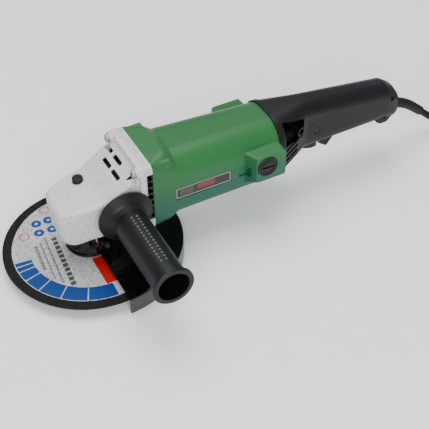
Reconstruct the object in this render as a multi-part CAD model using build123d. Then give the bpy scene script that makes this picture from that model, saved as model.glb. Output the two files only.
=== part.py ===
from build123d import *
import math
import os

# Angle grinder for 180 mm cutting discs, in millimetres.
# The spindle stands on Z with its free end at the origin, the motor and the rear handle lie along +X
# and the side handle points along -Y.

# ---------------------------------------------------------------- driving dimensions

FIT = 0.05                # radial clearance of pieces that fit in one another
AIR = 0.5                 # least air round a piece that moves

# cutting disc and its flanges
DISC_R = 90.0
DISC_T = 2.0
DISC_BORE_R = 11.12
DISC_Z = 12.0             # middle of the disc above the spindle's free end
FLANGE_R = 21.0
FLANGE_T = 5.0
NUT_FLANGE_T = 3.0
NUT_T = 8.5

# guard
GUARD_R = 97.5
GUARD_T = 2.0
GUARD_TOP = 20.0
GUARD_EDGE_X = 2.0        # the plate's straight edge
GUARD_RING_R = 24.7
BAND_TOP = 39.0
BAND_T = 2.0
SKIRT_BOTTOM = 0.0        # the skirt ends level with the spindle's free end
EAR_Y = 33.0
EAR_GAP = 1.0             # half the split between the band's two ears
EAR_X = EAR_GAP + 4.0     # outer face of an ear
CLAMP_R = 2.5             # clamp screw
CLAMP_AT = (-29.0, 32.0)  # the clamp screw's y, z

# bearing retainer under the gear housing
NECK_R = 21.5
NECK_BOTTOM = 21.0
HEAD_BOTTOM = 46.0
RETAINER_HALF_X = 31.5
RETAINER_HALF_Y = 24.5
RETAINER_T = 4.0
RETAINER_SPIGOT = 6.0
RETAINER_SCREW_X = 26.0
RETAINER_SCREW_Y = 15.0
RETAINER_SCREW_R = 2.0

# spindle
THREAD_R = 7.0
COLLAR_R = 9.5
SPINDLE_TOP_R = 5.0
SPINDLE_TOP = 84.5

# ball bearings: bore, outer radius, width
SPINDLE_BEARING = (7.5, 17.5, 11.0)
FRONT_BEARING = (6.0, 16.0, 10.0)
REAR_BEARING = (5.0, 15.0, 9.0)
SPINDLE_BEARING_Z = 40.0

# bevel gears
MOTOR_Z = 81.5            # height of the motor's axis
GEAR_TEETH = 38
PINION_TEETH = 11
GEAR_PITCH_R = 24.0
TOOTH_FACE = 6.0
ADDENDUM = 0.9
DEDENDUM = 1.35
LOCK_PIN_AT = 14.5        # the lock pin's distance from the spindle axis
LOCK_PIN_R = 2.2
LOCK_TRAVEL = 4.0         # stroke of the spindle lock button
LOCK_CAP = 2.0            # how far its cap reaches into the housing at rest
GEAR_FOOT = 62.0
GEAR_WEB_TOP = 71.0
GEAR_HUB_TOP = 74.0
PINION_BACK = 31.0
PINION_FRONT = 17.5

# gear housing
HEAD_FRONT = -34.8
HEAD_NOSE_HALF = 21.8     # half width at the front, before its corners are rounded
HEAD_MIDDLE_HALF = 31.0   # half width at the spindle
HEAD_BACK_HALF = 34.0     # half width at the joint face
HEAD_DRAFT = 3.0          # degrees: the sides lean out towards the top
HEAD_CREASE = 83.5        # the top's height at its front edge
HEAD_RISE = 90.0          # the top's height where the slope to the joint face begins
HEAD_SLOPE_X = 12.0
HEAD_SLOPE_TOP = 113.0
HEAD_EDGE_R = 4.0
HEAD_WALL = 2.4
SCREW_POCKET_R = 5.6
POCKET_Y = 25.0
POCKET_Z = 105.0
POCKET_X = 32.0
DUCT_X = 28.5             # front end of the air duct under the sloping top
BUSH_R = 8.0
BUSH_Z = 77.0
BEARING_BOSS_R = 19.0
BEARING_BOSS_X = 38.0
NOSE_BORE_R = 12.0
CHAMBER_R = 26.6
FACE_HALF = 38.0          # half width of the square joint face
FACE_X = 46.0
FACE_T = 6.0
FACE_CORNER_R = 6.0
FACE_CHAMFER = 0.7        # on the outer edges of both plates of the joint
FACE_BOTTOM = 40.0
FACE_TOP = 121.0
FACE_SCREW_Y = 31.5
FACE_SCREW_LOW = 48.5
FACE_SCREW_HIGH = 114.5
FACE_SCREW_R = 2.5
COVER_T = 7.0
BUTTON_R = 5.6

# side handle
SIDE_X = 27.0
SIDE_Z = 72.7
SIDE_BOSS_R = 16.0
SIDE_BOSS_Y = 38.5
SIDE_HOLE_DEPTH = 17.0
STUD_R = 4.95
SIDE_FLANGE_R = 29.0
SIDE_GRIP_R = 17.5
SIDE_LIP_R = 21.0
SIDE_END_Y = 147.0

# motor housing
COLLAR_TOP = 123.5
COLLAR_X = 77.0
BARREL_X = 87.0
BARREL_END = 204.0
BARREL_FRONT = (38.0, 46.0, 117.0, 25.0)   # half width, bottom, top, top corner radius
BARREL_REAR = (37.0, 46.0, 112.0, 29.0)
BARREL_LOW_R = 13.0
WALL = 3.0
BRUSH_X = 182.0
BOSS_Y = 49.5
BRUSH_CAP_R = 11.8
CAP_SEAT = 44.0           # where the brush caps' inner faces lie
CAP_PROUD = 1.2
LABEL_X0 = 83.0           # rating plate: its two ends, its low and high edges, and the plane it is glued to
LABEL_X1 = 146.0
LABEL_Z0 = 68.0
LABEL_Z1 = 82.0
LABEL_Y = 36.6
LABEL_T = 0.8
RECESS = (155.0, 166.0, 69.0, 81.0)        # square recess behind the rating plate: x, x, z, z

# motor
CORE_X = 92.0
CORE_LENGTH = 50.0
CORE_R = 32.0
CORE_FLAT = 28.5
BORE_R = 22.2
ARMATURE_R = 21.5
WINDING = 12.0
COMMUTATOR_R = 15.0
COMMUTATOR_LENGTH = 20.0
SHAFT_R = 6.0
PINION_NOSE_R = 3.0
FAN_R = 33.0
FAN_X = 62.0
FAN_T = 13.0
FAN_CASE_R = 35.5        # the housing round the fan
REAR_BEARING_X = 194.5

# rear handle
RING_T = 5.0              # raised ring where the handle meets the barrel
RING = (38.4, 44.6, 113.6, 29.8)           # half width, bottom, top, top corner radius
FLARE = (36.0, 46.5, 113.0, 28.0)
HANDLE_LOW_R = 13.0
NECK_X = 248.0
GRIP_END = 355.0
TAIL_X = 366.0
HANDLE_END = 371.5
GRIP_FRONT = (18.5, 53.0, 113.0, 16.0)     # half width, bottom, top, corner radius
GRIP_REAR = (17.0, 54.0, 98.7, 15.0)
GRIP_BEND = (15.5, 53.0, 91.5, 13.5)
GRIP_TAIL = (12.5, 55.0, 83.5, 10.0)
SHELL = 2.6
SCREWS_AT = ((238.5, 86.0), (360.0, 84.0), (353.0, 58.0))
SCREW_R = 1.8
SCREW_HEAD_R = 3.3
SCREW_SEAT = 12.5         # distance of the screw heads' seats from the middle plane
PIN_R = 1.5               # trigger pin
SWITCH = (258.0, 294.0, 12.0, 68.0, 87.9)  # x, x, half width, bottom, top
SWITCH_LEDGE = 88.0       # underside of the ledges that hold the switch down
CAPACITOR_R = 8.0
CAPACITOR_X = (217.0, 241.0)
CAPACITOR_Z = 66.0
CLAMP_X = 341.0           # cord clamp: its middle, the lead's height in it and its seat
CLAMP_Z = 70.0
CLAMP_SEAT = 63.5
CLAMP_SCREW_Y = 8.0
TRIGGER_PIVOT = (245.0, 58.0)
TRIGGER_HALF = 6.5
TRIGGER_LENGTH = 24.6
BUTTON_AT = (261.0, 76.6)
LOCK_BUTTON_R = 4.0
BUTTON_STROKE = 2.5       # lock-on button

# lead
CORD_R = 4.0
SLEEVE_R = 6.2
COIL_R = 48.0             # middle of the coil's turns
COIL_WIDE = 2             # turns side by side
COIL_HIGH = 4             # turns on top of each other
COIL_AT = (536.0, 30.0)
SLEEVE_START = 33.0       # along the lead from its inner end
SLEEVE_LENGTH = 60.0
SLEEVE_END_R = 5.4
COIL_LIFT = 1.3           # the ties lie under the coil
TIE_T = 1.0
TIE_WIDE = 5.0
PLUG_LENGTH = 44.0
PLUG_R = 11.0
PIN_LENGTH = 19.0
PIN_SPACING = 19.0
PLUG_PIN_R = 2.4
PIN_ROOT_R = 3.0          # the pins' moulded-in roots
PIN_ROOT = 12.0
CLAMP_LENGTH = 8.0
CLAMP_HALF = 11.0
CLAMP_SCREW_R = 1.4


# ---------------------------------------------------------------- helpers

def rod_z(r, z0, z1, x=0.0, y=0.0):
    """A cylinder along Z."""
    return Pos(x, y, z0) * Cylinder(r, z1 - z0, align=(Align.CENTER, Align.CENTER, Align.MIN))


def rod_x(r, x0, x1, y=0.0, z=MOTOR_Z):
    """A cylinder along X, on the motor's axis unless placed elsewhere."""
    return Pos(x0, y, z) * Rot(0, 90, 0) * Cylinder(r, x1 - x0, align=(Align.CENTER, Align.CENTER, Align.MIN))


def rod_y(r, y0, y1, x, z):
    """A cylinder along Y."""
    return Pos(x, y0, z) * Rot(-90, 0, 0) * Cylinder(r, y1 - y0, align=(Align.CENTER, Align.CENTER, Align.MIN))


def block(x0, x1, y0, y1, z0, z1):
    """A box between two corners."""
    return Pos(x0, y0, z0) * Box(x1 - x0, y1 - y0, z1 - z0, align=(Align.MIN, Align.MIN, Align.MIN))


def side_plate(points, y0, y1):
    """A plate whose outline is given by (x, z) points, from y0 to y1."""
    outline = [Vector(x, y1, z) for x, z in points]
    face = Face(Wire.make_polygon(outline, close=True))
    return extrude(face, amount=y1 - y0, dir=(0, -1, 0))


def hex_x(across, x0, x1, y=0.0, z=MOTOR_Z):
    """A hexagonal bar along X."""
    sketch = Plane((x0, y, z), x_dir=(0, 1, 0), z_dir=(1, 0, 0)) * RegularPolygon(across / 2, 6, major_radius=False)
    return extrude(sketch, amount=x1 - x0)


def section(x, size, low_r, grow=0.0):
    """A cross-section at x: a rectangle with one radius on its top corners and one on its low corners."""
    half, bottom, top, top_r = size
    plane = Plane((x, 0, 0), x_dir=(0, 1, 0), z_dir=(1, 0, 0))
    rect = Pos(0, (bottom + top) / 2) * Rectangle(2 * (half + grow), top - bottom + 2 * grow)
    middle = (bottom + top) / 2
    upper = [v for v in rect.vertices() if v.Y > middle]
    lower = [v for v in rect.vertices() if v.Y < middle]
    rounded = fillet(upper, top_r + grow)
    lower = [v for v in rounded.vertices() if v.Y < middle and abs(v.Y - (bottom - grow)) < 0.01]
    rounded = fillet(lower, low_r + grow)
    return plane * rounded


def between(a, b, share):
    """Sizes part of the way from one cross-section to another."""
    return tuple(p + (q - p) * share for p, q in zip(a, b))


def tapered(x0, size0, low0, x1, size1, low1, grow=0.0):
    """A body that runs straight from one cross-section to the next."""
    return loft([section(x0, size0, low0, grow), section(x1, size1, low1, grow)], ruled=True)


def mirror_y(shape):
    """The same shape on the other side of the machine."""
    return mirror(shape, about=Plane.XZ)


def bearing_x(size, x0):
    """A ball bearing on the motor's axis: outer ring, inner ring, balls."""
    bore, outer, width = size
    ring = (outer - bore) * 0.34
    ball = (outer - bore) / 2 - ring - FIT
    middle = (outer + bore) / 2
    outside = rod_x(outer, x0, x0 + width) - rod_x(outer - ring, x0, x0 + width)
    inside = rod_x(bore + ring, x0, x0 + width) - rod_x(bore + FIT / 2, x0, x0 + width)
    balls = [
        Pos(x0 + width / 2, middle * math.cos(a), MOTOR_Z + middle * math.sin(a)) * Sphere(ball)
        for a in [2 * math.pi * i / 8 for i in range(8)]
    ]
    return outside, inside, Compound(children=balls)


# ---------------------------------------------------------------- gear housing

def head_top(x):
    """Height of the gear housing's top at x, on its middle line."""
    if x < HEAD_SLOPE_X:
        share = (x - HEAD_FRONT) / (HEAD_SLOPE_X - HEAD_FRONT)
        return HEAD_CREASE + share * (HEAD_RISE - HEAD_CREASE)
    share = (x - HEAD_SLOPE_X) / (FACE_X - HEAD_SLOPE_X)
    return HEAD_RISE + share * (HEAD_SLOPE_TOP - HEAD_RISE)


def vent_places():
    """Middles of the four outlet slots in the sloping top: x, y."""
    front_row = SIDE_X + 4.0
    rear_row = front_row + 8.5
    return [(front_row, 10.0), (front_row, -11.0), (rear_row, 24.0), (rear_row, 2.5)]


def gear_housing():
    """Cast aluminium head: gear chamber, pinion bore, two handle bosses, joint face and sloping vented top."""
    lean = (HEAD_CREASE - HEAD_BOTTOM) * math.tan(math.radians(HEAD_DRAFT))
    half = [
        (FACE_X + 2, HEAD_BACK_HALF - lean),
        (0, HEAD_MIDDLE_HALF - lean),
        (HEAD_FRONT + lean, HEAD_NOSE_HALF - lean),
    ]
    outline = half + [(x, -y) for x, y in reversed(half)]
    plan = make_face(Polyline(*outline, close=True))
    plan = fillet([v for v in plan.vertices() if v.X < HEAD_FRONT / 2], 9)
    plan = Pos(0, 0, HEAD_BOTTOM) * fillet([v for v in plan.vertices() if abs(v.X) < 1], 60)
    body = extrude(plan, amount=FACE_TOP - HEAD_BOTTOM + 20, taper=-HEAD_DRAFT)
    slope = FilletPolyline(
        (HEAD_FRONT - 10, 0, head_top(HEAD_FRONT - 10)),
        (HEAD_SLOPE_X, 0, HEAD_RISE),
        (FACE_X + 10, 0, head_top(FACE_X + 10)),
        radius=25)
    above = Polyline(slope @ 1, (FACE_X + 10, 0, 200), (HEAD_FRONT - 10, 0, 200), slope @ 0)
    roof = Face(Wire([*slope.edges(), *above.edges()]))
    body -= extrude(roof, amount=60, dir=(0, -1, 0), both=True)
    body -= block(FACE_X, FACE_X + 20, -60, 60, 0, 200)
    rim = [e for e in body.edges() if e.center().Z > HEAD_CREASE - 3 and e.center().X < FACE_X - 1]
    rim = [e for e in rim if e.bounding_box().size.Z < 30 and (abs(e.center().Y) > 5 or e.center().X < HEAD_FRONT + 8)]
    body = fillet(rim, HEAD_EDGE_R)
    body += rod_y(SIDE_BOSS_R, -SIDE_BOSS_Y, SIDE_BOSS_Y, SIDE_X, SIDE_Z)
    plane = Plane((FACE_X, 0, (FACE_BOTTOM + FACE_TOP) / 2), x_dir=(0, 1, 0), z_dir=(1, 0, 0))
    flange = extrude(plane * RectangleRounded(2 * FACE_HALF, FACE_TOP - FACE_BOTTOM, FACE_CORNER_R), amount=FACE_T)
    body += chamfer(flange.edges().group_by(Axis.X)[-1], FACE_CHAMFER)
    for y in (-FACE_SCREW_Y, FACE_SCREW_Y):
        for z in (FACE_SCREW_LOW, FACE_SCREW_HIGH):
            body += rod_x(6.0, FACE_X - 3, FACE_X + 1, y, z)

    body -= rod_z(CHAMBER_R, HEAD_BOTTOM - 1, BUSH_Z + 1)
    profile = [(12, 0), (12, 5.4), (25, 9.6), (30, NOSE_BORE_R), (FACE_X, NOSE_BORE_R), (FACE_X, 0)]
    nose = Face(Wire.make_polygon([Vector(x, 0, r) for x, r in profile], close=True))
    body -= Pos(0, 0, MOTOR_Z) * revolve(nose, Axis.X, 360)
    body -= rod_x(BEARING_BOSS_R + FIT, BEARING_BOSS_X, FACE_X + FACE_T + 1)
    body -= rod_z(BUSH_R + FIT, BUSH_Z, SPINDLE_TOP + 1)
    body -= rod_z(LOCK_PIN_R + FIT, BUSH_Z - 1, head_top(0) + 5, 0, LOCK_PIN_AT)
    well = head_top(0) - LOCK_CAP - LOCK_TRAVEL - 2 * AIR
    body -= rod_z(BUTTON_R + AIR / 2, well, head_top(0) + 5, 0, LOCK_PIN_AT)
    floor = MOTOR_Z + BEARING_BOSS_R + 1.2
    duct = [
        (DUCT_X, floor - 5.5),
        (BEARING_BOSS_X - 0.5, floor - 5.5),
        (BEARING_BOSS_X - 0.5, floor),
        (FACE_X + FACE_T + 1, floor),
        (FACE_X + FACE_T + 1, HEAD_SLOPE_TOP - HEAD_WALL),
        (FACE_X, HEAD_SLOPE_TOP - HEAD_WALL),
        (DUCT_X, head_top(DUCT_X) - HEAD_WALL),
    ]
    body -= side_plate(duct, -25, 25)
    for x, y in vent_places():
        slot = Rectangle(4.0, 17.0)
        slot = fillet(slot.vertices(), 1.4)
        body -= Pos(x, y, floor - 4) * extrude(slot, amount=30)
    for side in (-1, 1):
        y0, y1 = sorted((side * POCKET_Y, side * 60))
        pocket = block(POCKET_X, FACE_X - 3, y0, y1, POCKET_Z, 150)
        body -= pocket
        outer_y = side * (SIDE_BOSS_Y + 1)
        inner_y = side * (SIDE_BOSS_Y - SIDE_HOLE_DEPTH)
        body -= rod_y(STUD_R + FIT, min(outer_y, inner_y), max(outer_y, inner_y), SIDE_X, SIDE_Z)
    for y in (-FACE_SCREW_Y, FACE_SCREW_Y):
        for z in (FACE_SCREW_LOW, FACE_SCREW_HIGH):
            body -= rod_x(FACE_SCREW_R + FIT, FACE_X - 4, FACE_X + FACE_T + 1, y, z)
            body -= rod_x(SCREW_POCKET_R, FACE_X - 14, FACE_X - 3, y, z)
    for x in (-RETAINER_SCREW_X, RETAINER_SCREW_X):
        for y in (-RETAINER_SCREW_Y, RETAINER_SCREW_Y):
            body -= rod_z(RETAINER_SCREW_R + FIT, HEAD_BOTTOM - 1, HEAD_BOTTOM + 11, x, y)
    return body


def bearing_cover_plate():
    """Plate between gear housing and motor: it holds the front bearing and has the side air outlets."""
    x0 = FACE_X + FACE_T
    plane = Plane((x0, 0, (FACE_BOTTOM + FACE_TOP) / 2), x_dir=(0, 1, 0), z_dir=(1, 0, 0))
    body = extrude(plane * RectangleRounded(2 * FACE_HALF, FACE_TOP - FACE_BOTTOM, FACE_CORNER_R), amount=COVER_T)
    body = chamfer(body.edges().group_by(Axis.X)[0], FACE_CHAMFER)
    body += rod_x(BEARING_BOSS_R, BEARING_BOSS_X, x0 + 1)
    bore, outer, width = FRONT_BEARING
    body -= rod_x(outer + FIT, BEARING_BOSS_X + 2, x0 + COVER_T + 1)
    body -= rod_x(outer - 3, BEARING_BOSS_X - 1, BEARING_BOSS_X + 3)
    for side in (-1, 1):
        for z in range(57, 113, 8):
            y0, y1 = sorted((side * 27.0, side * (FACE_HALF + 1)))
            body -= block(x0 + 1, x0 + COVER_T + 1, y0, y1, z, z + 6.4)
    body -= block(x0 - 1, x0 + COVER_T + 1, -24, 24, MOTOR_Z + BEARING_BOSS_R + 2, HEAD_SLOPE_TOP - 3)
    for y in (-FACE_SCREW_Y, FACE_SCREW_Y):
        for z in (FACE_SCREW_LOW, FACE_SCREW_HIGH):
            body -= rod_x(FACE_SCREW_R + FIT, x0 - 1, x0 + COVER_T + 1, y, z)
    return body


def face_screws():
    """Four screws that join gear housing, cover plate and motor housing."""
    screws = []
    for y in (-FACE_SCREW_Y, FACE_SCREW_Y):
        for z in (FACE_SCREW_LOW, FACE_SCREW_HIGH):
            head = rod_x(4.4, FACE_X - 6.5, FACE_X - 3, y, z)
            head = fillet(head.edges().group_by(Axis.X)[0], 1.2)
            head -= block(FACE_X - 7, FACE_X - 5, y - 3, y + 3, z - 0.6, z + 0.6)
            head -= block(FACE_X - 7, FACE_X - 5, y - 0.6, y + 0.6, z - 3, z + 3)
            screws.append(head + rod_x(FACE_SCREW_R, FACE_X - 4, FACE_X + 32, y, z))
    return Compound(children=screws)


# ---------------------------------------------------------------- spindle and its bearings

def bearing_retainer():
    """Flanged neck under the gear housing: it holds the spindle bearing and carries the guard."""
    bore, outer, width = SPINDLE_BEARING
    top = HEAD_BOTTOM + RETAINER_SPIGOT
    plate = Pos(0, 0, HEAD_BOTTOM - RETAINER_T) * extrude(
        RectangleRounded(2 * RETAINER_HALF_X, 2 * RETAINER_HALF_Y, 14), amount=RETAINER_T)
    body = plate + rod_z(NECK_R, NECK_BOTTOM, HEAD_BOTTOM)
    body += rod_z(CHAMBER_R - FIT, HEAD_BOTTOM, top)
    body -= rod_z(outer + FIT, SPINDLE_BEARING_Z, top + 1)
    body -= rod_z(outer - 3, SPINDLE_BEARING_Z - 10, SPINDLE_BEARING_Z + 1)
    body -= rod_z(COLLAR_R + AIR / 2, NECK_BOTTOM - 1, SPINDLE_BEARING_Z)
    for x in (-RETAINER_SCREW_X, RETAINER_SCREW_X):
        for y in (-RETAINER_SCREW_Y, RETAINER_SCREW_Y):
            body -= rod_z(RETAINER_SCREW_R + FIT, HEAD_BOTTOM - RETAINER_T - 1, HEAD_BOTTOM + 1, x, y)
    return body


def retainer_screws():
    screws = []
    seat = HEAD_BOTTOM - RETAINER_T
    for x in (-RETAINER_SCREW_X, RETAINER_SCREW_X):
        for y in (-RETAINER_SCREW_Y, RETAINER_SCREW_Y):
            head = rod_z(3.5, seat - 2.6, seat, x, y)
            head -= block(x - 2.4, x + 2.4, y - 0.5, y + 0.5, seat - 3, seat - 1.4)
            head -= block(x - 0.5, x + 0.5, y - 2.4, y + 2.4, seat - 3, seat - 1.4)
            screws.append(head + rod_z(RETAINER_SCREW_R, seat, HEAD_BOTTOM + 10, x, y))
    return Compound(children=screws)


def spindle_bearing():
    """Outer ring, inner ring and balls of the spindle bearing."""
    bore, outer, width = SPINDLE_BEARING
    z0 = SPINDLE_BEARING_Z
    ring = (outer - bore) * 0.34
    ball = (outer - bore) / 2 - ring - FIT
    middle = (outer + bore) / 2
    outside = rod_z(outer, z0, z0 + width) - rod_z(outer - ring, z0, z0 + width)
    inside = rod_z(bore + ring, z0, z0 + width) - rod_z(bore + FIT / 2, z0, z0 + width)
    balls = [
        Pos(middle * math.cos(a), middle * math.sin(a), z0 + width / 2) * Sphere(ball)
        for a in [2 * math.pi * i / 9 for i in range(9)]
    ]
    return outside, inside, Compound(children=balls)


def spindle_bush():
    """Bush in the housing's roof for the spindle's upper end."""
    return rod_z(BUSH_R, BUSH_Z + 1, SPINDLE_TOP + 1) - rod_z(SPINDLE_TOP_R + FIT, BUSH_Z, SPINDLE_TOP + 1)


def spindle():
    """Steel spindle: M14 nose, collar, bearing seat, gear seat and upper journal."""
    seat = SPINDLE_BEARING[0]
    shoulder = DISC_Z + DISC_T / 2 + FLANGE_T
    body = rod_z(THREAD_R, 0, shoulder)
    body = chamfer(body.edges().group_by(Axis.Z)[0], 1.2)
    body += rod_z(COLLAR_R, shoulder, SPINDLE_BEARING_Z)
    body += rod_z(seat, SPINDLE_BEARING_Z, GEAR_FOOT)
    body += rod_z(THREAD_R, GEAR_FOOT, BUSH_Z - 1)
    body += rod_z(SPINDLE_TOP_R, BUSH_Z - 1, SPINDLE_TOP)
    groove = rod_z(THREAD_R + 1, GEAR_HUB_TOP, GEAR_HUB_TOP + 1.2) - rod_z(THREAD_R - 0.6, GEAR_HUB_TOP, GEAR_HUB_TOP + 1.2)
    return body - groove


def gear_spacer():
    """Sleeve between the bearing's inner ring and the gear."""
    seat = SPINDLE_BEARING[0]
    z0 = SPINDLE_BEARING_Z + SPINDLE_BEARING[2]
    return rod_z(seat + 3, z0, GEAR_FOOT) - rod_z(seat + FIT, z0, GEAR_FOOT)


def gear_circlip():
    """Open ring in the spindle's groove above the gear."""
    ring = rod_z(THREAD_R + 2.2, GEAR_HUB_TOP, GEAR_HUB_TOP + 1.1)
    ring -= rod_z(THREAD_R - 0.5, GEAR_HUB_TOP, GEAR_HUB_TOP + 1.1)
    return ring - block(-12, 0, -1.5, 1.5, GEAR_HUB_TOP - 1, GEAR_HUB_TOP + 2)


# ---------------------------------------------------------------- bevel gears

CONE = math.hypot(GEAR_PITCH_R, GEAR_PITCH_R * PINION_TEETH / GEAR_TEETH)
GEAR_ANGLE = math.atan(GEAR_TEETH / PINION_TEETH)
PINION_ANGLE = math.pi / 2 - GEAR_ANGLE
FACE_SHARE = (CONE - TOOTH_FACE) / CONE


def cone_point(angle, off):
    """A point (along the axis, away from it) at the big end of a bevel gear, measured from the cone's apex."""
    along = CONE * math.cos(angle) - off * math.sin(angle)
    away = CONE * math.sin(angle) + off * math.cos(angle)
    return along, away


def bevel_tooth(angle, widths):
    """One tooth about the local Z axis, its middle on local +X, apex at the local origin; widths at foot, pitch, tip."""
    faces = []
    for share in (1.02, FACE_SHARE * 0.98):
        outline = []
        for off, width in ((-DEDENDUM - 0.3, widths[0]), (0.0, widths[1]), (ADDENDUM, widths[2])):
            along, away = cone_point(angle, off)
            outline.append((along * share, away * share, width / 2 * share))
        left = [Vector(away, -half, along) for along, away, half in outline]
        right = [Vector(away, half, along) for along, away, half in reversed(outline)]
        faces.append(Face(Wire.make_polygon(left + right, close=True)))
    return loft(faces, ruled=True)


def bevel_gear():
    """Large bevel gear on the spindle: teeth facing up, web with four holes for the lock pin."""
    root_along, root_away = cone_point(GEAR_ANGLE, -DEDENDUM)
    big_z = MOTOR_Z - root_along
    small_z = MOTOR_Z - root_along * FACE_SHARE
    small_r = root_away * FACE_SHARE
    points = [
        (THREAD_R + FIT, GEAR_FOOT),
        (12, GEAR_FOOT),
        (12, GEAR_FOOT + 3),
        (root_away - 1, big_z - 4),
        (root_away + 0.5, big_z - 1.5),
        (root_away, big_z),
        (small_r, small_z),
        (small_r - 0.6, GEAR_WEB_TOP),
        (THREAD_R + 3.6, GEAR_WEB_TOP),
        (THREAD_R + 3.6, GEAR_HUB_TOP),
        (THREAD_R + FIT, GEAR_HUB_TOP),
    ]
    half = Face(Wire.make_polygon([Vector(r, 0, z) for r, z in points], close=True))
    body = revolve(half, Axis.Z, 360)
    # the tooth's local axis points down from the apex
    tooth = Pos(0, 0, MOTOR_Z) * Rot(180, 0, 0) * bevel_tooth(GEAR_ANGLE, (1.8, 1.15, 0.6))
    teeth = [Rot(0, 0, 360 * (i + 0.5) / GEAR_TEETH) * tooth for i in range(GEAR_TEETH)]
    body = body.fuse(*teeth)
    for i in range(4):
        a = math.radians(90 * i)
        body -= rod_z(LOCK_PIN_R + 0.35, GEAR_FOOT, BUSH_Z, LOCK_PIN_AT * math.cos(a), LOCK_PIN_AT * math.sin(a))
    return body


def pinion():
    """Small bevel gear on the armature's nose."""
    root_along, root_away = cone_point(PINION_ANGLE, -DEDENDUM)
    points = [
        (PINION_FRONT, PINION_NOSE_R + FIT),
        (PINION_FRONT, root_away * FACE_SHARE),
        (root_along, root_away),
        (root_along + 1.2, root_away),
        (root_along + 1.4, 8.4),
        (PINION_BACK, 8.4),
        (PINION_BACK, PINION_NOSE_R + FIT),
    ]
    half = Face(Wire.make_polygon([Vector(x, 0, r) for x, r in points], close=True))
    body = revolve(half, Axis.X, 360)
    tooth = Rot(0, 90, 0) * bevel_tooth(PINION_ANGLE, (1.2, 1.15, 0.5))
    teeth = [Rot(360 * i / PINION_TEETH, 0, 0) * tooth for i in range(PINION_TEETH)]
    return Pos(0, 0, MOTOR_Z) * body.fuse(*teeth)


def pinion_nut():
    """Hexagon nut that holds the pinion on the armature's nose."""
    return hex_x(8.0, PINION_FRONT - 4.6, PINION_FRONT) - rod_x(PINION_NOSE_R + FIT, 12, 20)


# ---------------------------------------------------------------- spindle lock

def spindle_lock_button():
    """Black button on the sloping top with the steel lock pin moulded in."""
    top = head_top(0)
    cap = rod_z(BUTTON_R, top - LOCK_CAP, top + LOCK_TRAVEL + 0.4, 0, LOCK_PIN_AT)
    cap = fillet(cap.edges().group_by(Axis.Z)[-1], 1.2)
    pin = rod_z(LOCK_PIN_R, GEAR_WEB_TOP + 2.2, top - LOCK_CAP, 0, LOCK_PIN_AT)
    return cap + pin


def lock_spring():
    """Return spring under the button's cap."""
    top = head_top(0)
    radius = (LOCK_PIN_R + BUTTON_R) / 2 + 0.2
    coil = Helix(pitch=1.15, height=3.7, radius=radius)
    wire = Plane(origin=coil @ 0, z_dir=coil % 0) * Circle(0.4)
    spring = sweep(wire, path=coil, is_frenet=True)
    return Pos(0, LOCK_PIN_AT, top - 6.5) * spring


# ---------------------------------------------------------------- disc, flanges and guard

def inner_flange():
    z0 = DISC_Z + DISC_T / 2
    body = rod_z(FLANGE_R, z0, z0 + FLANGE_T)
    body = chamfer(body.edges().group_by(Axis.Z)[-1], 1.0)
    body += rod_z(DISC_BORE_R - FIT, z0 - DISC_T + 0.4, z0)
    return body - rod_z(THREAD_R + FIT, z0 - 5, z0 + FLANGE_T + 1)


def cutting_disc():
    body = rod_z(DISC_R, DISC_Z - DISC_T / 2, DISC_Z + DISC_T / 2)
    return body - rod_z(DISC_BORE_R, DISC_Z - 5, DISC_Z + 5)


def lock_nut():
    """Round outer flange nut with four holes for its pin spanner."""
    top = DISC_Z - DISC_T / 2
    body = rod_z(FLANGE_R, top - NUT_FLANGE_T, top) + rod_z(15, top - NUT_T, top - NUT_FLANGE_T)
    body -= rod_z(THREAD_R + FIT, top - NUT_T - 1, top + 1)
    for i in range(4):
        a = math.radians(45 + 90 * i)
        body -= rod_z(2.3, top - NUT_T - 1, top - NUT_T + 4, 11.3 * math.cos(a), 11.3 * math.sin(a))
    return body


def guard():
    """Half-round sheet steel guard with its skirt, welded to a split clamp band with two ears."""
    plate = rod_z(GUARD_R, GUARD_TOP - GUARD_T, GUARD_TOP)
    skirt = rod_z(GUARD_R, SKIRT_BOTTOM, GUARD_TOP - GUARD_T)
    skirt -= rod_z(GUARD_R - GUARD_T, SKIRT_BOTTOM, GUARD_TOP - GUARD_T)
    half = block(GUARD_EDGE_X, 2 * GUARD_R, -2 * GUARD_R, 2 * GUARD_R, SKIRT_BOTTOM - 1, GUARD_TOP + 1)
    body = (plate + skirt) & half
    rim = [e for e in body.edges() if abs(e.center().Z - GUARD_TOP) < 0.1 and e.geom_type == GeomType.CIRCLE]
    body = fillet(rim, 1.6)
    body += rod_z(GUARD_RING_R, GUARD_TOP - GUARD_T, GUARD_TOP)
    body += rod_z(NECK_R + BAND_T, GUARD_TOP, BAND_TOP)
    low, high = CLAMP_AT[1] - 5.5, CLAMP_AT[1] + 5.5
    body += block(-EAR_X, EAR_X, -EAR_Y, -NECK_R, low, high)
    body -= block(-EAR_GAP, EAR_GAP, -EAR_Y - 1, -NECK_R + 1, GUARD_TOP, BAND_TOP + 1)
    body -= rod_z(NECK_R + FIT, GUARD_TOP - GUARD_T - 1, BAND_TOP + 1)
    body -= rod_x(CLAMP_R + FIT, -10, 10, *CLAMP_AT)
    return body


def guard_clamp_screw():
    """Socket screw through the band's ears, with its nut."""
    y, z = CLAMP_AT
    head = rod_x(4.2, EAR_X, EAR_X + 5, y, z)
    head -= hex_x(4, EAR_X + 2.5, EAR_X + 6, y, z)
    screw = head + rod_x(CLAMP_R, -EAR_X - 6, EAR_X, y, z)
    nut = hex_x(8, -EAR_X - 4, -EAR_X, y, z) - rod_x(CLAMP_R + FIT, -EAR_X - 5, 0, y, z)
    return Compound(children=[screw, nut])


# ---------------------------------------------------------------- side handle

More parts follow.
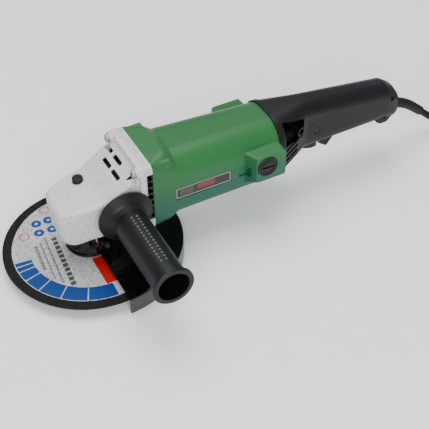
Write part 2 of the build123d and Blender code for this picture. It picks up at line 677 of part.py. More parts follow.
def side_handle_grip():
    """Plastic grip with a hand guard flange, a slim neck and a hollow end."""
    face = -SIDE_BOSS_Y
    length = SIDE_END_Y - SIDE_BOSS_Y
    points = [
        (STUD_R + FIT, 0.0),
        (SIDE_FLANGE_R - 1.0, 0.0),
        (SIDE_FLANGE_R, 1.0),
        (SIDE_FLANGE_R, 2.4),
        (SIDE_FLANGE_R - 2.0, 3.6),
        (SIDE_GRIP_R + 2.4, 8.0),
        (SIDE_GRIP_R - 0.6, 13.0),
        (SIDE_GRIP_R, 22.0),
        (SIDE_GRIP_R, length - 6.0),
        (SIDE_LIP_R, length - 3.0),
        (SIDE_LIP_R, length - 0.8),
        (SIDE_LIP_R - 0.8, length),
        (SIDE_GRIP_R - 1.6, length),
        (SIDE_GRIP_R - 3.2, length - 60.0),
        (STUD_R + FIT, length - 60.0),
    ]
    half = Face(Wire.make_polygon([Vector(r, -along, 0) for r, along in points], close=True))
    return Pos(SIDE_X, face, SIDE_Z) * revolve(half, Axis.Y, 360)


def side_handle_stud():
    """Threaded steel stud, half in the grip and half in the housing's boss."""
    inner = SIDE_BOSS_Y - SIDE_HOLE_DEPTH + 1.5
    return rod_y(STUD_R, -SIDE_BOSS_Y - 38, -inner, SIDE_X, SIDE_Z)


# ---------------------------------------------------------------- motor housing

def barrel_size(x):
    share = (x - BARREL_X) / (BARREL_END - BARREL_X)
    return between(BARREL_FRONT, BARREL_REAR, share)


def boss_shape():
    """Brush boss on the -Y side: a box whose front face leans back."""
    x1 = BARREL_END - 0.5
    foot = (-30.0, BRUSH_X - 24, MOTOR_Z - 27.5, MOTOR_Z + 15.5)
    face = (-BOSS_Y, BRUSH_X - 13, MOTOR_Z - 17.5, MOTOR_Z + 14)
    outlines = []
    for y, x0, z0, z1 in (foot, face):
        plane = Plane((0, y, 0), x_dir=(1, 0, 0), z_dir=(0, -1, 0))
        rect = RectangleRounded(x1 - x0, z1 - z0, 3.0)
        outlines.append(plane * (Pos((x0 + x1) / 2, (z0 + z1) / 2) * rect))
    return loft(outlines, ruled=True)


def motor_housing():
    """Green moulded housing: square collar, tapering barrel, brush bosses and rear bearing spider."""
    x0 = FACE_X + FACE_T + COVER_T
    collar_low_r = FACE_CORNER_R + 1
    collar_front = (FACE_HALF, FACE_BOTTOM, FACE_TOP, collar_low_r)
    collar_rear = (FACE_HALF, FACE_BOTTOM + 1, COLLAR_TOP, 20.0)
    body = tapered(x0, collar_front, collar_low_r, COLLAR_X, collar_rear, 10.0)
    body += tapered(COLLAR_X, collar_rear, 10.0, BARREL_X, BARREL_FRONT, BARREL_LOW_R)
    body += tapered(BARREL_X, BARREL_FRONT, BARREL_LOW_R, BARREL_END, BARREL_REAR, BARREL_LOW_R)
    boss = boss_shape()
    body += boss
    body += mirror_y(boss)

    core_end = CORE_X + CORE_LENGTH
    body -= rod_x(FAN_CASE_R, x0 - 1, CORE_X - 12)
    body -= rod_x(CORE_R - 0.5, CORE_X - 13, CORE_X) & block(0, 200, -50, 50, 0, MOTOR_Z + CORE_FLAT)
    core_hole = rod_x(CORE_R + FIT, CORE_X, core_end + 16)
    flat = CORE_FLAT + FIT
    core_hole &= block(CORE_X, core_end + 16, -50, 50, MOTOR_Z - flat, MOTOR_Z + flat)
    body -= core_hole
    rear0 = core_end + 14
    spider_x = BARREL_END - 7
    hollow = tapered(
        rear0, barrel_size(rear0), BARREL_LOW_R,
        BARREL_END, BARREL_REAR, BARREL_LOW_R, -WALL)
    hollow += extrude(section(BARREL_END, BARREL_REAR, BARREL_LOW_R, -WALL), amount=1)
    hollow -= spider(spider_x)
    body -= hollow
    for angle in (45, 135, 225, 315):
        duct = Pos(0, 0, MOTOR_Z) * Rot(angle, 0, 0) * block(CORE_X - 4, rear0 + 2, CORE_R - 3, CORE_R + 2.6, -4, 4)
        body -= duct
    for side in (-1, 1):
        y0, y1 = sorted((side * 10, side * (BOSS_Y + 1)))
        hole = block(BRUSH_X - 5.5 - FIT, BRUSH_X + 5.5 + FIT, y0, y1, MOTOR_Z - 8 - FIT, MOTOR_Z + 8 + FIT)
        body -= hole
        y0, y1 = sorted((side * CAP_SEAT, side * (BOSS_Y + 1)))
        body -= rod_y(BRUSH_CAP_R + FIT, y0, y1, BRUSH_X, MOTOR_Z)
    for y in (-FACE_SCREW_Y, FACE_SCREW_Y):
        for z in (FACE_SCREW_LOW, FACE_SCREW_HIGH):
            inside = block(x0, x0 + 20, -FACE_HALF, FACE_HALF, FACE_BOTTOM + 2, FACE_TOP)
            body += rod_x(5.2, x0, FACE_X + 33, y, z) & inside
            body -= rod_x(FACE_SCREW_R + FIT, x0 - 1, FACE_X + 33, y, z)
    body -= block(LABEL_X0 - 0.2, LABEL_X1 + 0.2, -50, -LABEL_Y, LABEL_Z0 - 0.2, LABEL_Z1 + 0.2)
    x0, x1, z0, z1 = RECESS
    body -= block(x0, x1, -50, -LABEL_Y + 0.6, z0, z1)
    tongue = extrude(section(BARREL_END, BARREL_REAR, BARREL_LOW_R, -WALL + 1.2), amount=RING_T - 1)
    tongue -= extrude(section(BARREL_END, BARREL_REAR, BARREL_LOW_R, -WALL), amount=RING_T)
    return body + tongue


def spider(x0):
    """Rear bearing pocket on four arms, inside the barrel's end."""
    bore, outer, width = REAR_BEARING
    pocket = rod_x(outer + 3.5, REAR_BEARING_X, BARREL_END)
    pocket -= rod_x(outer + FIT, REAR_BEARING_X - 1, REAR_BEARING_X + width)
    arms = block(x0, BARREL_END, -60, 60, MOTOR_Z - 5, MOTOR_Z + 5)
    arms += block(x0, BARREL_END, -5, 5, 0, 150)
    arms -= rod_x(outer + 2, 0, 400)
    return pocket + arms


def label_plate():
    """Rating plate in its shallow pocket on the -Y side."""
    plate = block(LABEL_X0, LABEL_X1, -LABEL_Y - LABEL_T, -LABEL_Y, LABEL_Z0, LABEL_Z1)
    return fillet(plate.edges().filter_by(Axis.Y), 1.5)


# ---------------------------------------------------------------- motor

def field_core():
    """Stator lamination pack with its two pole shoes."""
    x1 = CORE_X + CORE_LENGTH
    body = rod_x(CORE_R, CORE_X, x1) & block(CORE_X, x1, -50, 50, MOTOR_Z - CORE_FLAT, MOTOR_Z + CORE_FLAT)
    body -= rod_x(BORE_R, CORE_X - 1, x1 + 1)
    for side in (-1, 1):
        for up in (-1, 1):
            y0, y1 = sorted((side * 9, side * 26))
            z0, z1 = sorted((MOTOR_Z + up * 11, MOTOR_Z + up * 20.5))
            window = block(CORE_X - 1, x1 + 1, y0, y1, z0, z1) - rod_x(BORE_R - 0.1, CORE_X - 2, x1 + 2)
            body -= window - rod_x(BORE_R + 2, CORE_X - 2, x1 + 2)
    return body


def field_coils():
    """End turns of the two field coils, at both ends of the pack."""
    coils = []
    x1 = CORE_X + CORE_LENGTH
    for up in (-1, 1):
        for x0 in (CORE_X - 8, x1):
            ring = rod_x(29, x0, x0 + 8) - rod_x(BORE_R + 0.8, x0 - 1, x0 + 9)
            z0, z1 = sorted((MOTOR_Z + up * 4, MOTOR_Z + up * (CORE_FLAT - 1)))
            coils.append(ring & block(x0, x0 + 8, -27, 27, z0, z1))
    return Compound(children=coils)


def armature_shaft():
    """Steel shaft from the pinion's nut to the rear bearing."""
    body = rod_x(PINION_NOSE_R, 12, PINION_BACK)
    body += rod_x(SHAFT_R + 2.4, PINION_BACK, BEARING_BOSS_X + 2)
    body += rod_x(SHAFT_R, BEARING_BOSS_X + 2, FAN_X - 4)
    body += rod_x(SHAFT_R + 1, FAN_X - 4, REAR_BEARING_X - 1)
    body += rod_x(REAR_BEARING[0], REAR_BEARING_X - 1, REAR_BEARING_X + REAR_BEARING[2])
    return body


def armature_core():
    """Rotor lamination pack with slots."""
    body = rod_x(ARMATURE_R, CORE_X, CORE_X + CORE_LENGTH)
    slot = block(CORE_X - 1, CORE_X + CORE_LENGTH + 1, ARMATURE_R - 6, ARMATURE_R + 1, -1.1, 1.1)
    for i in range(12):
        body -= Pos(0, 0, MOTOR_Z) * Rot(30 * i, 0, 0) * slot
    return body - rod_x(SHAFT_R + 1 + FIT, CORE_X - 1, CORE_X + CORE_LENGTH + 1)


def armature_winding():
    """End turns of the rotor winding, a rounded ring at each end of the pack."""
    rings = []
    for x0 in (CORE_X - WINDING, CORE_X + CORE_LENGTH):
        ring = rod_x(ARMATURE_R - 2.5, x0, x0 + WINDING)
        edge = ring.edges().group_by(Axis.X)[0 if x0 < CORE_X else -1]
        ring = fillet(edge, 4)
        rings.append(ring - rod_x(SHAFT_R + 1 + FIT, x0 - 1, x0 + WINDING + 1))
    return Compound(children=rings)


def commutator():
    """Copper commutator with shallow slots between its bars."""
    x0 = BRUSH_X - COMMUTATOR_LENGTH / 2
    body = rod_x(COMMUTATOR_R, x0, x0 + COMMUTATOR_LENGTH)
    slot = block(x0 - 1, x0 + COMMUTATOR_LENGTH + 1, COMMUTATOR_R - 0.8, COMMUTATOR_R + 1, -0.3, 0.3)
    for i in range(24):
        body -= Pos(0, 0, MOTOR_Z) * Rot(15 * i, 0, 0) * slot
    return body - rod_x(SHAFT_R + 1 + FIT, x0 - 1, x0 + COMMUTATOR_LENGTH + 1)


def cooling_fan():
    """Moulded radial fan: hub, back disc and curved blades."""
    x1 = FAN_X + FAN_T
    body = rod_x(11, FAN_X, x1) + rod_x(FAN_R, x1 - 2, x1)
    blade = block(FAN_X + 1, x1 - 1, 10, FAN_R - 0.5, -0.8, 0.8)
    for i in range(14):
        body += Pos(0, 0, MOTOR_Z) * Rot(360 / 14 * i, 0, 0) * (Pos(0, 0, 3) * blade)
    return body - rod_x(SHAFT_R + 1 + FIT, FAN_X - 1, x1 + 1)


def fan_baffle():
    """Ring that guides the air from the motor into the fan's eye."""
    x0 = CORE_X - 12 - 2.5
    return rod_x(FAN_CASE_R - FIT, x0, x0 + 2.5) - rod_x(ARMATURE_R + 0.8, x0 - 1, x0 + 4)


def brush_gear():
    """Holders, brushes, springs and screw caps, two of each."""
    holders, brushes, springs, caps = [], [], [], []
    for side in (-1, 1):
        place = Pos(BRUSH_X, 0, MOTOR_Z) * Rot(90 + 90 * side, 0, 0)
        tube = block(-5.5, 5.5, -CAP_SEAT, -17.5, -8, 8) - block(-3.6, 3.6, -CAP_SEAT - 1, -17, -6.1, 6.1)
        holders.append(place * tube)
        brushes.append(place * block(-3.5, 3.5, -31, -COMMUTATOR_R - FIT, -6, 6))
        coil = Helix(pitch=2.2, height=11.0, radius=2.6)
        wire = Plane(origin=coil @ 0, z_dir=coil % 0) * Circle(0.45)
        springs.append(place * Pos(0, -31.7, 0) * Rot(90, 0, 0) * sweep(wire, path=coil, is_frenet=True))
        front = -BOSS_Y - CAP_PROUD
        cap = rod_y(BRUSH_CAP_R, front, -CAP_SEAT, 0, 0)
        cap = fillet(cap.edges().group_by(Axis.Y)[0], 0.8)
        for r in (9.6, 7.2):
            cap -= rod_y(r, front - 1, front + 0.8, 0, 0) - rod_y(r - 0.9, front - 1, front + 0.8, 0, 0)
        cap -= block(-6.2, 6.2, front - 1, front + 2.2, -1, 1)
        caps.append(place * cap)
    return [Compound(children=c) for c in (holders, brushes, springs, caps)]


# ---------------------------------------------------------------- rear handle

def handle_outer(grow=0.0):
    """Outer shape of the rear handle, or its hollow when grow is negative."""
    end = HANDLE_END + min(grow, 0)
    ring_end = BARREL_END + RING_T
    body = tapered(ring_end, FLARE, HANDLE_LOW_R, NECK_X, GRIP_FRONT, 14.0, grow)
    body += tapered(NECK_X, GRIP_FRONT, 14.0, GRIP_END, GRIP_REAR, 13.0, grow)
    body += tapered(GRIP_END, GRIP_REAR, 13.0, TAIL_X, GRIP_BEND, 10.0, grow)
    body += tapered(TAIL_X, GRIP_BEND, 10.0, end, GRIP_TAIL, 7.5, grow)
    return body


def handle_whole(lead):
    """Both half shells as one hollow, before the cut down the middle."""
    body = handle_outer()
    ring = extrude(section(BARREL_END, RING, HANDLE_LOW_R + 1), amount=RING_T)
    body += ring
    finger_guard = side_plate([(270, 60), (270.5, 49.5), (281, 42), (290, 53.5), (294, 60)], -9, 9)
    tail = side_plate([(340, 60), (346, 51), (352, 47.5), (360, 48), (367, 55), (367, 62)], -11, 11)
    body += fillet(finger_guard.edges().filter_by(Axis.Y), 1.5)
    body += fillet(tail.edges().filter_by(Axis.Y), 2.5)
    body -= handle_outer(-SHELL)
    body -= extrude(section(BARREL_END, BARREL_REAR, BARREL_LOW_R, -WALL + 1.2 + FIT), amount=RING_T)
    body -= extrude(section(BARREL_END + RING_T, FLARE, HANDLE_LOW_R, -SHELL), amount=-RING_T)
    # side windows of the air inlet, and slanted slots SKIRT_BOTTOM them
    for side in (-1, 1):
        y0, y1 = sorted((side * 16, side * 45))
        body -= side_plate([(212, 83), (241, 79.5), (242, 101), (213, 108)], y0, y1)
        for i in range(5):
            z = 49 + 6.6 * i
            body -= side_plate([(212, z), (233, z + 3.4), (233, z + 6.8), (212, z + 3.4)], y0, y1)
    # opening for the trigger and bore for the lock-on button
    trigger_end = TRIGGER_PIVOT[0] + TRIGGER_LENGTH
    body -= block(TRIGGER_PIVOT[0] - 4, trigger_end + 2.4, -TRIGGER_HALF - AIR, TRIGGER_HALF + AIR, 38, 58)
    body -= rod_y(LOCK_BUTTON_R + 0.3, -30, 0, *BUTTON_AT)
    for x, z in SCREWS_AT:
        body += rod_y(5.2, -30, 30, x, z) & handle_outer(-0.5)
        body -= rod_y(SCREW_R + FIT, -30, SCREW_SEAT + 0.5, x, z)
        body -= rod_y(SCREW_HEAD_R + 0.3, -30, -SCREW_SEAT, x, z)
    # trigger pivot bosses, switch ledges and cord clamp seats
    for side in (-1, 1):
        y0, y1 = sorted((side * (TRIGGER_HALF + AIR / 2), side * 16.5))
        body += rod_y(4.2, y0, y1, *TRIGGER_PIVOT) & handle_outer(-0.5)
    body -= rod_y(PIN_R + FIT, -12, 12, *TRIGGER_PIVOT)
    for x in (CAPACITOR_X[0] + 3, CAPACITOR_X[1] - 5):
        cradle = block(x, x + 2, -30, 30, 40, CAPACITOR_Z) & handle_outer(-0.5)
        body += cradle - rod_x(CAPACITOR_R + FIT, x - 1, x + 3, 0, CAPACITOR_Z)
    for x in (SWITCH[0] + 6, SWITCH[1] - 10):
        body += block(x, x + 4, -18, 18, SWITCH_LEDGE, SWITCH_LEDGE + 22) & handle_outer(-0.5)
    seat = block(CLAMP_X - CLAMP_LENGTH / 2 - 1, CLAMP_X + CLAMP_LENGTH / 2 + 1, -18, 18, 40, CLAMP_SEAT)
    body += seat & handle_outer(-0.5)
    for y in (-CLAMP_SCREW_Y, CLAMP_SCREW_Y):
        body -= rod_z(CLAMP_SCREW_R + FIT, CLAMP_SEAT - 8, CLAMP_SEAT + 1, CLAMP_X, y)
    body -= tube(lead, SLEEVE_R + FIT) & block(HANDLE_END - 12, HANDLE_END + 40, -20, 20, 30, 100)
    return body


def handle_half(handle, side):
    """One half shell: the whole handle cut at its middle plane."""
    y0, y1 = sorted((0, side * 80))
    return handle & block(BARREL_END - 1, HANDLE_END + 5, y0, y1, 30, 130)


def handle_screws():
    screws = []
    for x, z in SCREWS_AT:
        head = rod_y(SCREW_HEAD_R, -SCREW_SEAT - 2.2, -SCREW_SEAT, x, z)
        for wide, high in ((2, 0.45), (0.45, 2)):
            head -= block(x - wide, x + wide, -SCREW_SEAT - 3, -SCREW_SEAT - 1.1, z - high, z + high)
        screws.append(head + rod_y(SCREW_R, -SCREW_SEAT, SCREW_SEAT, x, z))
    return Compound(children=screws)


def switch_trigger():
    """Squeeze trigger: a lens-shaped lever on a pin at its front end."""
    x, z = TRIGGER_PIVOT
    end = x + TRIGGER_LENGTH
    low_side = [(x - 3, z - 2), (x - 3, z - 6), (x + 8, z - 11.5), (x + 18, z - 14.5), (end, z - 14)]
    points = low_side + [(end, z + 2), (x + 4, z + 3.5)]
    lever = side_plate(points, -TRIGGER_HALF, TRIGGER_HALF)
    lever += rod_y(3.8, -TRIGGER_HALF, TRIGGER_HALF, x, z)
    return lever - rod_y(PIN_R + FIT, -20, 20, x, z)


def trigger_pin():
    return rod_y(PIN_R, -11.5, 11.5, *TRIGGER_PIVOT)


def switch_body():
    """Sealed switch unit above the trigger, held under two ledges."""
    x0, x1, half, z0, z1 = SWITCH
    return block(x0, x1, -half, half, z0, z1)


def lock_on_button():
    x, z = BUTTON_AT
    half = 18.2
    button = rod_y(LOCK_BUTTON_R, -half, -half + BUTTON_STROKE + 0.9, x, z)
    return fillet(button.edges().group_by(Axis.Y)[0], 0.8)


def capacitor():
    """Suppressor capacitor between the motor and the switch, on two cradle ribs."""
    x0, x1 = CAPACITOR_X
    return rod_x(CAPACITOR_R, x0, x1, 0, CAPACITOR_Z)


# ---------------------------------------------------------------- lead

def lead_route():
    """The lead from the cord clamp to the coil, as the bends of its middle line."""
    x, y = COIL_AT
    return [
        (332.0, 0.0, 71.0),
        (360.0, 0.0, 67.5),
        (392.0, 0.0, 56.0),
        (424.0, 0.0, 29.0),
        (452.0, -2.0, CORD_R),
        (486.0, y - COIL_R - CORD_R, CORD_R + COIL_LIFT),
        (x - 14, y - COIL_R - CORD_R, CORD_R + COIL_LIFT),
    ]


def tail_route():
    """The lead's short end from the coil to the plug."""
    x, y = COIL_AT
    outer = y - COIL_R - CORD_R
    return [
        (x, outer, COIL_LIFT + (2 * COIL_HIGH - 1) * CORD_R),
        (x + 22, outer - 1, COIL_LIFT + (2 * COIL_HIGH - 1) * CORD_R - 1),
        (x + 48, outer - 12, 16.0),
        (x + 72, outer - 24, PLUG_R),
    ]


def smooth_line(points):
    """A line through bends, each rounded by an arc."""
    runs = [Vector(*b) - Vector(*a) for a, b in zip(points, points[1:])]
    radii = []
    for a, b in zip(runs, runs[1:]):
        half_turn = math.radians(a.get_angle(b)) / 2
        radii.append(0.45 * min(a.length, b.length) / math.tan(half_turn))
    print("bend radii", [round(r, 1) for r in radii])
    return FilletPolyline(*points, radius=radii)


def tube(line, r):
    """A round bar along a line."""
    end = Plane(origin=line @ 0, z_dir=line % 0)
    return sweep(end * Circle(r), path=line)


def cord(lead):
    """Mains lead from the clamp to the coil, and its short end from the coil to the plug."""
    tail = smooth_line(tail_route())
    # one turn of the full number goes into the steps from turn to turn
    coiled = 2 * math.pi * COIL_R * (COIL_WIDE * COIL_HIGH - 1)
    print("lead", round(lead.length, 1), "tail", round(tail.length, 1), "coil", round(coiled, 1))
    return Compound(children=[tube(lead, CORD_R), tube(tail, CORD_R)])


def cord_guard(lead):
    """Tapered rubber sleeve round the lead where it leaves the handle."""
    path = lead.trim(SLEEVE_START / lead.length, (SLEEVE_START + SLEEVE_LENGTH) / lead.length)
    first = Plane(origin=path @ 0, z_dir=path % 0)
    last = Plane(origin=path @ 1, z_dir=path % 1)
    sleeve = sweep([first * Circle(SLEEVE_R), last * Circle(SLEEVE_END_R)], path=path, multisection=True)
    foot = extrude(first * Circle(SLEEVE_R + 1.2), amount=2.5)
    return sleeve + foot - tube(lead, CORD_R + FIT)


def cord_coil():
    """Outer shape of the lead's coiled part: turns beside and on each other."""
    height = 2 * CORD_R * COIL_HIGH
    wide = CORD_R * COIL_WIDE
    ring = rod_z(COIL_R + wide, COIL_LIFT, COIL_LIFT + height, *COIL_AT)
    ring -= rod_z(COIL_R - wide, COIL_LIFT, COIL_LIFT + height, *COIL_AT)
    return fillet(ring.edges(), CORD_R - 0.5)


def cord_ties():
    """Two bands round the coil's turns."""
    height = 2 * CORD_R * COIL_HIGH
    wide = CORD_R * COIL_WIDE
    gap = COIL_LIFT - TIE_T
    ties = []
    for side in (-1, 1):
        x = COIL_AT[0] + side * COIL_R
        band = block(x - wide - COIL_LIFT, x + wide + COIL_LIFT, 0, TIE_WIDE, 0, height + 2 * COIL_LIFT)
        band -= block(x - wide - gap - 0.35, x + wide + gap, -1, TIE_WIDE + 1, TIE_T, height + 2 * COIL_LIFT - TIE_T)
        ties.append(Pos(0, COIL_AT[1] - TIE_WIDE / 2, 0) * band)
    return Compound(children=ties)


def plug_place():
    """Where the plug's cord end lies, its axis as local X."""
    end, before = tail_route()[-1], tail_route()[-2]
    turn = math.degrees(math.atan2(end[1] - before[1], end[0] - before[0]))
    return Pos(*end) * Rot(0, 0, turn)


def plug_body():
    """Moulded two-pin plug lying on the floor, its cord end tapered."""
    outlines = []
    for x, half_wide, half_high in ((0, 5.5, 5.5), (14, 9, 8), (20, 17, PLUG_R), (PLUG_LENGTH, 17, PLUG_R)):
        plane = Plane((x, 0, 0), x_dir=(0, 1, 0), z_dir=(1, 0, 0))
        outlines.append(plane * RectangleRounded(2 * half_wide, 2 * half_high, 5.0))
    body = loft(outlines, ruled=True)
    for side in (-1, 1):
        body -= rod_x(PIN_ROOT_R + FIT, PLUG_LENGTH - PIN_ROOT, PLUG_LENGTH + 1, side * PIN_SPACING / 2, 0)
    return plug_place() * body


def plug_pins():
    """Two round brass pins."""
    pins = []
    for side in (-1, 1):
        y = side * PIN_SPACING / 2
        pin = rod_x(PLUG_PIN_R, PLUG_LENGTH, PLUG_LENGTH + PIN_LENGTH, y, 0)
        pin = chamfer(pin.edges().group_by(Axis.X)[-1], 0.8)
        pins.append(plug_place() * (pin + rod_x(PIN_ROOT_R, PLUG_LENGTH - PIN_ROOT, PLUG_LENGTH, y, 0)))
    return Compound(children=pins)


def cord_clamp(lead):
    """Saddle and bar that grip the lead inside the handle."""
    x0, x1 = CLAMP_X - CLAMP_LENGTH / 2, CLAMP_X + CLAMP_LENGTH / 2
    saddle = block(x0, x1, -CLAMP_HALF, CLAMP_HALF, CLAMP_SEAT, CLAMP_Z - 0.6)
    bar = block(x0, x1, -CLAMP_HALF, CLAMP_HALF, CLAMP_Z + 0.2, CLAMP_Z + 6.5)
    pieces = []
    for piece in (saddle, bar):
        piece -= tube(lead, CORD_R + FIT)
        for y in (-CLAMP_SCREW_Y, CLAMP_SCREW_Y):
            piece -= rod_z(CLAMP_SCREW_R + FIT, CLAMP_SEAT - 1, CLAMP_Z + 8, CLAMP_X, y)
        pieces.append(piece)
    return Compound(children=pieces)


def clamp_screws():
    top = CLAMP_Z + 6.5
    screws = []
    for y in (-CLAMP_SCREW_Y, CLAMP_SCREW_Y):
        head = rod_z(2.6, top, top + 2, CLAMP_X, y)
        head -= block(CLAMP_X - 2, CLAMP_X + 2, y - 0.4, y + 0.4, top + 1, top + 3)
        screws.append(head + rod_z(CLAMP_SCREW_R, CLAMP_SEAT - 7, top, CLAMP_X, y))
    return Compound(children=screws)


if __name__ == "__main__":
    os.makedirs("parts", exist_ok=True)
    lead_line = smooth_line(lead_route())
    handle = handle_whole(lead_line)
    spindle_rings = spindle_bearing()
    front_rings = bearing_x(FRONT_BEARING, BEARING_BOSS_X + 2)
    rear_rings = bearing_x(REAR_BEARING, REAR_BEARING_X)
    brushes = brush_gear()
    nodes = {
        "gear_housing": gear_housing(),
        "bearing_cover_plate": bearing_cover_plate(),
        "face_screws": face_screws(),
        "bearing_retainer": bearing_retainer(),
        "retainer_screws": retainer_screws(),
        "spindle_bearing_outer": spindle_rings[0],
        "spindle_bearing_inner": spindle_rings[1],
        "spindle_bearing_balls": spindle_rings[2],
        "spindle_bush": spindle_bush(),
        "spindle": spindle(),
        "gear_spacer": gear_spacer(),
        "gear_circlip": gear_circlip(),
        "bevel_gear": bevel_gear(),
        "pinion": pinion(),
        "pinion_nut": pinion_nut(),
        "spindle_lock_button": spindle_lock_button(),
        "lock_spring": lock_spring(),
        "inner_flange": inner_flange(),
        "cutting_disc": cutting_disc(),
        "lock_nut": lock_nut(),
        "guard": guard(),
        "guard_clamp_screw": guard_clamp_screw(),
        "side_handle_grip": side_handle_grip(),
        "side_handle_stud": side_handle_stud(),
        "motor_housing": motor_housing(),
        "label_plate": label_plate(),
        "field_core": field_core(),
        "field_coils": field_coils(),
        "armature_shaft": armature_shaft(),
        "armature_core": armature_core(),
        "armature_winding": armature_winding(),
        "commutator": commutator(),
        "cooling_fan": cooling_fan(),
        "fan_baffle": fan_baffle(),
        "front_bearing_outer": front_rings[0],
        "front_bearing_inner": front_rings[1],
        "front_bearing_balls": front_rings[2],
        "rear_bearing_outer": rear_rings[0],
        "rear_bearing_inner": rear_rings[1],
        "rear_bearing_balls": rear_rings[2],
        "brush_holders": brushes[0],
        "carbon_brushes": brushes[1],
        "brush_springs": brushes[2],
        "brush_caps": brushes[3],
        "rear_handle_left": handle_half(handle, 1),
        "rear_handle_right": handle_half(handle, -1),
        "handle_screws": handle_screws(),
        "switch_trigger": switch_trigger(),
        "trigger_pin": trigger_pin(),
        "switch_body": switch_body(),
        "lock_on_button": lock_on_button(),
        "capacitor": capacitor(),
        "cord_clamp": cord_clamp(lead_line),
        "clamp_screws": clamp_screws(),
        "cord_guard": cord_guard(lead_line),
        "cord": cord(lead_line),
        "cord_coil": cord_coil(),
        "cord_ties": cord_ties(),
        "plug_body": plug_body(),
        "plug_pins": plug_pins(),
    }
    for name, shape in nodes.items():
        export_step(shape, os.path.join("parts", name + ".step"))
        print(name, "solids", len(shape.solids()), "volume", round(shape.volume))
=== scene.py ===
import math
import bpy
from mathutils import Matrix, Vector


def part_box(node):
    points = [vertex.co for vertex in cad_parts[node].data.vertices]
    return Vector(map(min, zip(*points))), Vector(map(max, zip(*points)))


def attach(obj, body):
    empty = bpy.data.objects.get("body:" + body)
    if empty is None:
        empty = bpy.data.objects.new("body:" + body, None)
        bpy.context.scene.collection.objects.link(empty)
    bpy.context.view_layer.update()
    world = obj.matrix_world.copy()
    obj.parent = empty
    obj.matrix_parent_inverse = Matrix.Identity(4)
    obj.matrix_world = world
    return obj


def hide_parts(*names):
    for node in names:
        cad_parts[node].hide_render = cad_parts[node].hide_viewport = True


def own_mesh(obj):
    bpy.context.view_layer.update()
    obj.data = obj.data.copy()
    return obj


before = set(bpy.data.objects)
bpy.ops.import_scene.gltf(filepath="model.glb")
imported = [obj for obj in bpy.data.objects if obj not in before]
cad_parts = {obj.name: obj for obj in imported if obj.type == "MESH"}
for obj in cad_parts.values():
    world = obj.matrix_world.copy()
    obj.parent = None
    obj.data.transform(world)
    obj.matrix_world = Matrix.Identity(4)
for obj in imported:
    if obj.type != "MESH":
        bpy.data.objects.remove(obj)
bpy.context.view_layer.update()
bpy.ops.object.select_all(action="DESELECT")


# ---------------------------------------------------------------- the table and the light
# The grinder lies on a plain pale table under two large soft lamps and a light room.
# It is seen from its front left, from above.

TABLE_SIZE = 6.0
TABLE_DROP = 0.0004          # the table lies this far under the lowest piece
LAMP_AIM = (0.15, 0.0, 0.05)

bpy.ops.mesh.primitive_plane_add(size=TABLE_SIZE, location=(0.2, 0.0, -TABLE_DROP))
table_top = bpy.context.object
table_top.name = "table_top"

bpy.ops.object.camera_add(
    location=(-0.23263, -0.72128, 0.75254),
    rotation=(math.radians(46.872), math.radians(0.231), math.radians(-27.922)))
camera = bpy.context.object
camera.data.lens = 85.0
camera.data.sensor_width = 36.0
camera.data.clip_start = 0.01
bpy.context.scene.camera = camera

for lamp_name, place, power, size in (
    ("window_lamp", (-0.35, -1.25, 0.95), 20.0, 0.9),
    ("ceiling_lamp", (0.2, 0.35, 1.6), 24.0, 1.2),
):
    bpy.ops.object.light_add(type="AREA", location=place)
    lamp = bpy.context.object
    lamp.name = lamp_name
    lamp.data.energy = power
    lamp.data.size = size
    way = [there - here for here, there in zip(place, LAMP_AIM)]
    lamp.rotation_euler = (
        math.atan2(math.hypot(way[0], way[1]), -way[2]), 0.0,
        math.atan2(way[1], way[0]) - math.pi / 2)

room = bpy.data.worlds.new("room")
room.use_nodes = True
room_light = room.node_tree.nodes["Background"]
room_light.inputs["Color"].default_value = (0.86, 0.9, 1.0, 1.0)
room_light.inputs["Strength"].default_value = 0.6
bpy.context.scene.world = room


# How finishes are mixed: a socket that takes part in sums, and the start of a new finish.

